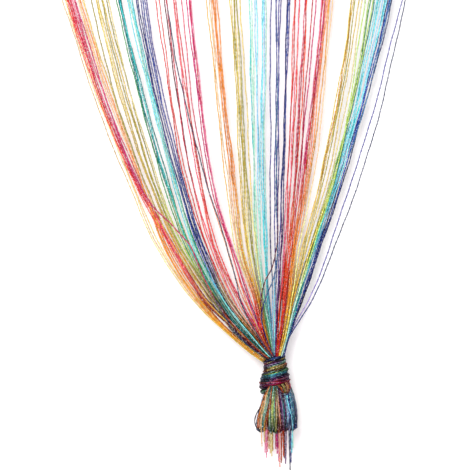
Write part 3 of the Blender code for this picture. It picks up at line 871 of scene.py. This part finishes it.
def tuft_layer(layer):
    """One layer of folded yarns, lock by lock.

    The drop of a yarn falls from its root to its lowest point as 1 - |t|^p, with t from -1 to 1
    along it. Its first leg follows its lock's places, and its second one comes back up behind it.
    Only the front layer has the locks of one yarn, which stand out at the sides.
    """
    even = np.linspace(-1, 1, LOCK_RINGS)
    turn = even * (1 + LOCK_EVENNESS * (1 - np.abs(even)))
    front = layer["depth"] == LAYERS[0][0]
    locks = [lock for lock in rows(LOCK_COLUMNS, LOCKS) if front or len(lock["dyes"]) > 1]
    routes = []
    for lock in locks:
        count = len(lock["dyes"])
        spread = np.linspace(-1, 1, count)[:, None] * lock["half_width"] * MM if count > 1 else 0.0
        lowest = lock["fold_drop"] * MM - seeds.uniform(0, FOLD_DROP_SPREAD, (count, 1)) * (count > 1)
        power = seeds.uniform(*FOLD_POWERS, (count, 1))
        drop = TUFT_ROOT_DROP + (lowest - TUFT_ROOT_DROP) * (1 - np.abs(turn) ** power)
        stations = np.array([*LOCK_DROPS, lock["fold_drop"] * MM])
        places = np.array([*lock["places"], lock["fold_x"]]) * MM
        x = smooth_through(stations, places, drop)
        hang = smooth_step((drop - TUFT_ROOT_DROP) / HANG_DROP)
        x = x + spread * (ROOT_SPREAD + (1 - ROOT_SPREAD) * hang)
        x = x + hang * wander(count, turn, LOCK_WAVES)
        behind = smooth_step((turn + FOLD_SHARE) / (2 * FOLD_SHARE))
        aside = seeds.uniform(-FOLD_ASIDE, FOLD_ASIDE, (count, 1))
        if count == 1:
            aside = -math.copysign(SINGLE_ASIDE, lock["fold_x"])
        x = x + behind * aside
        out = tuft_depth(x, drop) - seeds.uniform(0, DEPTH_SPREAD, (count, 1))
        y = layer["depth"] * out + behind * FOLD_INSET * (1 if layer["depth"] < 0 else -1)
        routes.append(np.stack([KNOT_X + x, y, -NECK_DROP - drop], -1))
    names = [dyes for lock in locks for dyes in lock["dyes"]]
    names = names[-layer["dye_shift"]:] + names[:-layer["dye_shift"]] if layer["dye_shift"] else names
    routes = np.concatenate(routes)
    share = (-routes[..., 2] - NECK_DROP - TUFT_ROOT_DROP) / (FOLD_DROP - TUFT_ROOT_DROP)
    return tuft_yarns(routes, dye_runs(names, 2 * share, GATHERED_TUFT))


def tuft_ends(row):
    """One row of loose ends, hanging out of the tuft and below its folds with a slight sway."""
    ends = rows(END_COLUMNS, ENDS)
    tips = np.array([end["tip_drop"] for end in ends])[:, None] * MM
    shown = np.array([row < end["shown"] for end in ends])[:, None]
    tips = TUFT_FAN_DROP + (tips - TUFT_FAN_DROP) * END_SHARES[row] * shown
    drop = END_START + (tips - END_START) * np.linspace(0, 1, END_RINGS)
    x = np.array([end["tip_x"] for end in ends])[:, None] * MM + END_ASIDE[row]
    spread = smooth_step((drop - END_START) / (TUFT_FAN_DROP - END_START))
    x = x * (1 - END_SPREAD * (1 - spread))
    x = x + END_SWAY * np.sin(drop / END_WAVE + seeds.uniform(0, TURN, (len(ends), 1)))
    routes = np.stack([KNOT_X + x, END_ROWS[row] + 0 * x, -NECK_DROP - drop], -1)
    return tuft_yarns(routes, dye_runs([end["dyes"][row] for end in ends], 0, GATHERED_ENDS))


def tuft_pieces():
    """The tuft: a piece for each layer of folded yarns and each row of loose ends."""
    finish = lurex("lurex_knot")
    replaced = ["gathering_knot"]
    for number, layer in enumerate(rows(LAYER_COLUMNS, LAYERS), 1):
        piece(f"tuft_loops_{number}", [tuft_layer(layer)], finish, replaced)
    for row in range(len(END_ROWS)):
        piece(f"tuft_ends_{row + 1}", [tuft_ends(row)], finish, replaced)


def new_material(name):
    """An empty material, and a function that adds a node with these inputs."""
    made = bpy.data.materials.new(name)
    made.use_nodes = True
    tree = made.node_tree
    tree.nodes.clear()

    def add(kind, inputs=None, **settings):
        node = tree.nodes.new(kind)
        for key, value in settings.items():
            setattr(node, key, value)
        for key, value in (inputs or {}).items():
            if isinstance(value, bpy.types.NodeSocket):
                tree.links.new(value, node.inputs[key])
            else:
                node.inputs[key].default_value = value
        return node

    return made, add


def lurex(slot):
    """Metallic yarn: dyed film with twist lines, painted glint and shade in lighter and darker
    stretches, and painted glints as light flecks.

    Gathered in the knot, the same yarn gets deeper painted shade, rarer and less white painted
    glints, and more metal than hanging free.
    """
    name = slot + "_yarn"
    if name in bpy.data.materials:
        return bpy.data.materials[name]
    made, add = new_material(name)
    dye = add("ShaderNodeAttribute", attribute_name="dye")
    gathered = dye.outputs["Alpha"]
    place = add("ShaderNodeUVMap", uv_map="yarn").outputs["UV"]

    def by_gathering(free, wound):
        return add("ShaderNodeMapRange", {"Value": gathered, "To Min": free, "To Max": wound}).outputs[0]

    long = add("ShaderNodeMapping", {"Vector": place, "Scale": STRETCH_SCALE}).outputs[0]
    short = add("ShaderNodeMapping", {"Vector": place, "Scale": GLINT_SCALE}).outputs[0]
    stretch = add("ShaderNodeTexNoise", {"Vector": long, "Scale": 1.0, "Detail": 2.0}).outputs[0]
    glint_noise = add("ShaderNodeTexNoise", {"Vector": short, "Scale": 1.0, "Detail": 1.0}).outputs[0]
    # Painted glint and shade: the noise makes lighter and darker stretches along the yarn.
    depth = add("ShaderNodeMapRange", {"Value": stretch, "From Min": STRETCH_RANGE[0],
                                       "From Max": STRETCH_RANGE[1],
                                       "To Min": by_gathering(*DEEP_SHADE),
                                       "To Max": by_gathering(*BRIGHT_SHADE)}).outputs[0]
    shaded = add("ShaderNodeVectorMath", {0: dye.outputs["Color"], "Scale": depth},
                 operation="SCALE").outputs[0]
    # Painted glints: where the fine noise is high, the colour is lifted towards white.
    glint = add("ShaderNodeMapRange", {"Value": glint_noise, "From Min": by_gathering(*GLINT_START),
                                       "From Max": by_gathering(*GLINT_FULL)}).outputs[0]
    gleam = add("ShaderNodeVectorMath", {0: shaded, 1: (GLINT_GAIN,) * 3, 2: by_gathering(*GLINT_WHITENING)},
                operation="MULTIPLY_ADD").outputs[0]
    gleam = add("ShaderNodeVectorMath", {0: gleam, 1: (LIGHTEST,) * 3}, operation="MINIMUM").outputs[0]
    base = add("ShaderNodeMix", {"Factor": glint, "A": shaded, "B": gleam}, data_type="RGBA")
    parts = add("ShaderNodeSeparateXYZ", {"Vector": place})
    starts = add("ShaderNodeMath", {0: parts.outputs["X"], 1: TWIST_STARTS}, operation="MULTIPLY").outputs[0]
    lines = add("ShaderNodeMath", {0: parts.outputs["Y"], 1: TWIST_LINES, 2: starts},
                operation="MULTIPLY_ADD").outputs[0]
    wave = add("ShaderNodeMath", {0: add("ShaderNodeMath", {0: lines, 1: TURN},
                                         operation="MULTIPLY").outputs[0]},
               operation="SINE").outputs[0]
    bump = add("ShaderNodeBump", {"Height": wave, "Strength": 0.30, "Distance": 0.0002}).outputs[0]
    shader = add("ShaderNodeBsdfPrincipled", {
        "Base Color": base.outputs["Result"], "Metallic": by_gathering(*METAL), "Roughness": 0.33,
        "Normal": bump, "Anisotropic": 0.3, "Specular IOR Level": 0.15,
    })
    add("ShaderNodeOutputMaterial", {"Surface": shader.outputs[0]})
    return made


def heading_weave():
    """Plain off-white ribbed cloth with fine threads across the ribs."""
    made, add = new_material("heading_ribbed_cloth")
    where = add("ShaderNodeTexCoord").outputs["Object"]
    threads = add("ShaderNodeMapping", {"Vector": where, "Scale": THREAD_SCALE}).outputs[0]
    uneven = add("ShaderNodeTexNoise", {"Vector": threads, "Scale": 1.0, "Detail": 2.0}).outputs[0]
    wide = add("ShaderNodeTexNoise", {"Vector": where, "Scale": PATCH_SCALE, "Detail": 3.0}).outputs[0]
    tone = add("ShaderNodeMapRange", {"Value": uneven, "To Min": THREAD_TONES[0],
                                      "To Max": THREAD_TONES[1]}).outputs[0]
    soft = add("ShaderNodeMapRange", {"Value": wide, "To Min": PATCH_TONES[0],
                                      "To Max": PATCH_TONES[1]}).outputs[0]
    both = add("ShaderNodeMath", {0: tone, 1: soft}, operation="MULTIPLY").outputs[0]
    colour = add("ShaderNodeVectorMath", {0: linear(HEADING_WHITE)[:3], "Scale": both},
                 operation="SCALE").outputs[0]
    bump = add("ShaderNodeBump", {"Height": uneven, "Strength": 0.5, "Distance": 0.0004}).outputs[0]
    shader = add("ShaderNodeBsdfPrincipled", {
        "Base Color": colour, "Roughness": 0.85, "Sheen Weight": 0.25, "Normal": bump,
    })
    add("ShaderNodeOutputMaterial", {"Surface": shader.outputs[0]})
    return made


def stage_plane(name, corners, material):
    mesh = bpy.data.meshes.new(name)
    mesh.from_pydata(corners, [], [(0, 1, 2, 3)])
    mesh.materials.append(material)
    made = bpy.data.objects.new(name, mesh)
    bpy.context.scene.collection.objects.link(made)


def stage():
    """A white, faintly lit wall close behind the curtain, open to views from behind, and a floor."""
    wall_paint, add = new_material("wall_paint")
    matt = add("ShaderNodeBsdfDiffuse", {"Color": WALL_WHITE})
    lit = add("ShaderNodeEmission", {"Color": WALL_GLOW_COLOUR, "Strength": WALL_GLOW})
    front = add("ShaderNodeAddShader", {0: matt.outputs[0], 1: lit.outputs[0]})
    clear = add("ShaderNodeBsdfTransparent")
    behind = add("ShaderNodeNewGeometry").outputs["Backfacing"]
    mixed = add("ShaderNodeMixShader", {0: behind, 1: front.outputs[0], 2: clear.outputs[0]})
    add("ShaderNodeOutputMaterial", {"Surface": mixed.outputs[0]})
    left, right = KNOT_X - STAGE_HALF, KNOT_X + STAGE_HALF
    corners = [(left, WALL_Y, FLOOR_Z), (right, WALL_Y, FLOOR_Z),
               (right, WALL_Y, STAGE_TOP), (left, WALL_Y, STAGE_TOP)]
    stage_plane("wall", corners, wall_paint)
    floor_paint, add = new_material("floor_paint")
    pale = add("ShaderNodeBsdfDiffuse", {"Color": FLOOR_WHITE})
    add("ShaderNodeOutputMaterial", {"Surface": pale.outputs[0]})
    corners = [(left, -STAGE_HALF, FLOOR_Z), (right, -STAGE_HALF, FLOOR_Z),
               (right, STAGE_HALF, FLOOR_Z), (left, STAGE_HALF, FLOOR_Z)]
    stage_plane("floor", corners, floor_paint)


def area_light(name, place, aim, size, power):
    data = bpy.data.lights.new(name, "AREA")
    data.size = size
    data.energy = power
    made = bpy.data.objects.new(name, data)
    bpy.context.scene.collection.objects.link(made)
    made.location = place
    made.rotation_euler = (Vector(aim) - Vector(place)).to_track_quat("-Z", "Y").to_euler()


def light_and_camera():
    """One large soft light from the upper left, a white surround, and a camera straight on."""
    area_light("soft_light", LIGHT_PLACE, LIGHT_AIM, LIGHT_SIZE, LIGHT_POWER)
    scene = bpy.context.scene
    scene.view_settings.view_transform = "Standard"
    world = bpy.data.worlds.new("white_surround")
    world.use_nodes = True
    surround = world.node_tree.nodes["Background"]
    surround.inputs["Color"].default_value = SURROUND_COLOUR
    surround.inputs["Strength"].default_value = SURROUND_STRENGTH
    scene.world = world
    data = bpy.data.cameras.new("straight_on")
    data.lens = LENS
    data.sensor_width = SENSOR
    made = bpy.data.objects.new("straight_on", data)
    scene.collection.objects.link(made)
    distance = FRAME_WIDTH * LENS / SENSOR
    made.location = (FRAME_CENTRE[0], -distance, FRAME_CENTRE[1])
    made.rotation_euler = (math.pi / 2, 0.0, 0.0)
    scene.camera = made


light_and_camera()
stage()
heading_cloth()
string_pieces()
knot_pieces()
tuft_pieces()
